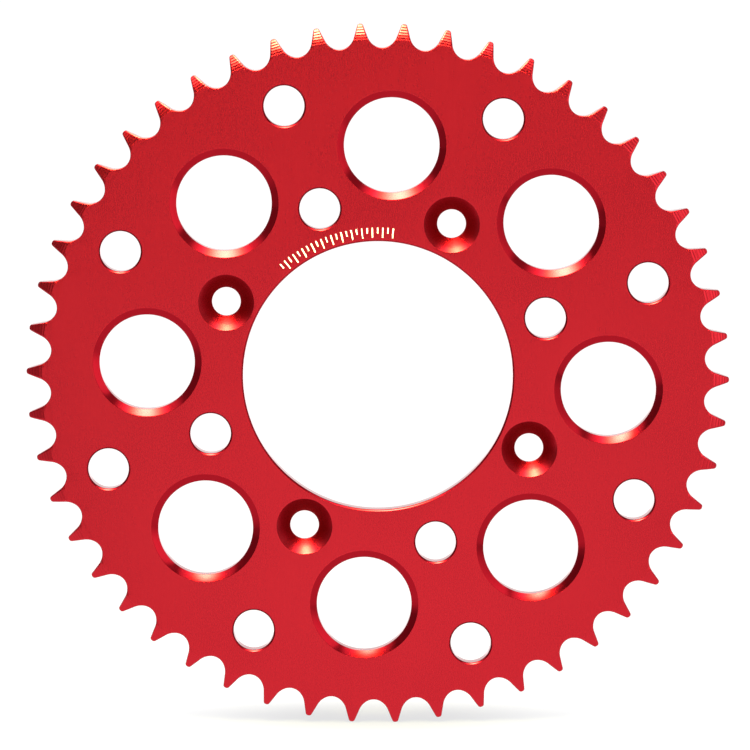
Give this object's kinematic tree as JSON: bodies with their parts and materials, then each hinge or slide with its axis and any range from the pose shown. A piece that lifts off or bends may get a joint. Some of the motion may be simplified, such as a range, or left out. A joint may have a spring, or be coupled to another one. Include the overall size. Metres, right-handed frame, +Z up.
{
  "type": "rear sprocket",
  "caption": "Rear chain sprocket: one flat machined plate with a large hub bore, countersunk bolt holes, round lightening holes and teeth with stepped side relief.",
  "frame": {"origin": "centre of the hub bore, in the middle of the plate's thickness", "axes": "+Y along the axle from the outer, countersunk face to the hub face; +Z up and +X to the right as the outer face is seen; the four bolt holes are turned 64.09 degrees from +X towards +Z"},
  "size_m": [0.2086, 0.006, 0.2084],
  "materials": {
    "anodised_plate": "red anodised, fine vertical grain on the faces, satin"
  },
  "bodies": {
    "root": {"sprocket_plate": "anodised_plate"}
  },
  "joints": []
}
